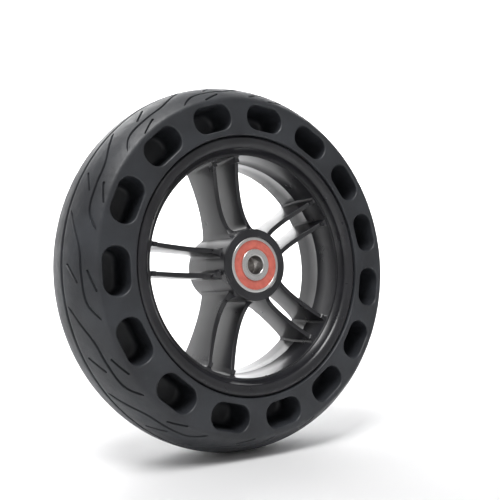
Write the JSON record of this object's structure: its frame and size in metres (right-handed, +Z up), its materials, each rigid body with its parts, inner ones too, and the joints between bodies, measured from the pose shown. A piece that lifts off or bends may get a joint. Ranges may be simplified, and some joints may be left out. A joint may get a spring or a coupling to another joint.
{
  "type": "scooter wheel",
  "caption": "Small solid-tyred scooter wheel: black rubber tyre with side pockets on a moulded twin-spoke hub that turns on sealed ball bearings",
  "frame": {"origin": "centre of the wheel, on its spin axis at the middle of its width", "axes": "+Y along the spin axis, from the front face towards the rear face; the front face looks along -Y; +Z up, at right angles to the spin axis"},
  "size_m": [0.1999, 0.0498, 0.2],
  "materials": {
    "tyre_rubber": "satin black rubber",
    "hub_plastic": "glossy black moulded nylon",
    "bearing_steel": "ground bearing steel",
    "ball_steel": "polished steel",
    "cage_steel": "pressed sheet steel",
    "seal_rubber": "matt red-orange rubber",
    "spacer_steel": "turned aluminium tube"
  },
  "bodies": {
    "axle_group": {"bearing_spacer": "spacer_steel", "front_bearing_inner_ring": "bearing_steel", "rear_bearing_inner_ring": "bearing_steel"},
    "wheel": {"tyre": "tyre_rubber", "wheel_hub": "hub_plastic", "front_bearing_outer_ring": "bearing_steel", "front_bearing_seal_outer": "seal_rubber", "front_bearing_seal_outer_core": "cage_steel", "front_bearing_seal_inner": "seal_rubber", "front_bearing_seal_inner_core": "cage_steel", "rear_bearing_outer_ring": "bearing_steel", "rear_bearing_seal_outer": "seal_rubber", "rear_bearing_seal_outer_core": "cage_steel", "rear_bearing_seal_inner": "seal_rubber", "rear_bearing_seal_inner_core": "cage_steel"},
    "front_ball_set": {"front_bearing_balls": "ball_steel", "front_bearing_cage_outer": "cage_steel", "front_bearing_cage_inner": "cage_steel", "front_bearing_cage_rivets": "cage_steel"},
    "rear_ball_set": {"rear_bearing_balls": "ball_steel", "rear_bearing_cage_outer": "cage_steel", "rear_bearing_cage_inner": "cage_steel", "rear_bearing_cage_rivets": "cage_steel"}
  },
  "joints": [
    {"name": "wheel_spin", "type": "hinge", "parent": "axle_group", "child": "wheel", "pos_m": [0, 0, 0], "axis": [0, 1, 0], "continuous": true},
    {"name": "front_ball_set_spin", "type": "hinge", "parent": "axle_group", "child": "front_ball_set", "pos_m": [0, -0.014, 0], "axis": [0, 1, 0], "continuous": true},
    {"name": "rear_ball_set_spin", "type": "hinge", "parent": "axle_group", "child": "rear_ball_set", "pos_m": [0, 0.018, 0], "axis": [0, 1, 0], "continuous": true}
  ],
  "couplings": [
    {"joint": "front_ball_set_spin", "follows": "wheel_spin", "ratio": 0.61905},
    {"joint": "rear_ball_set_spin", "follows": "wheel_spin", "ratio": 0.61905}
  ]
}
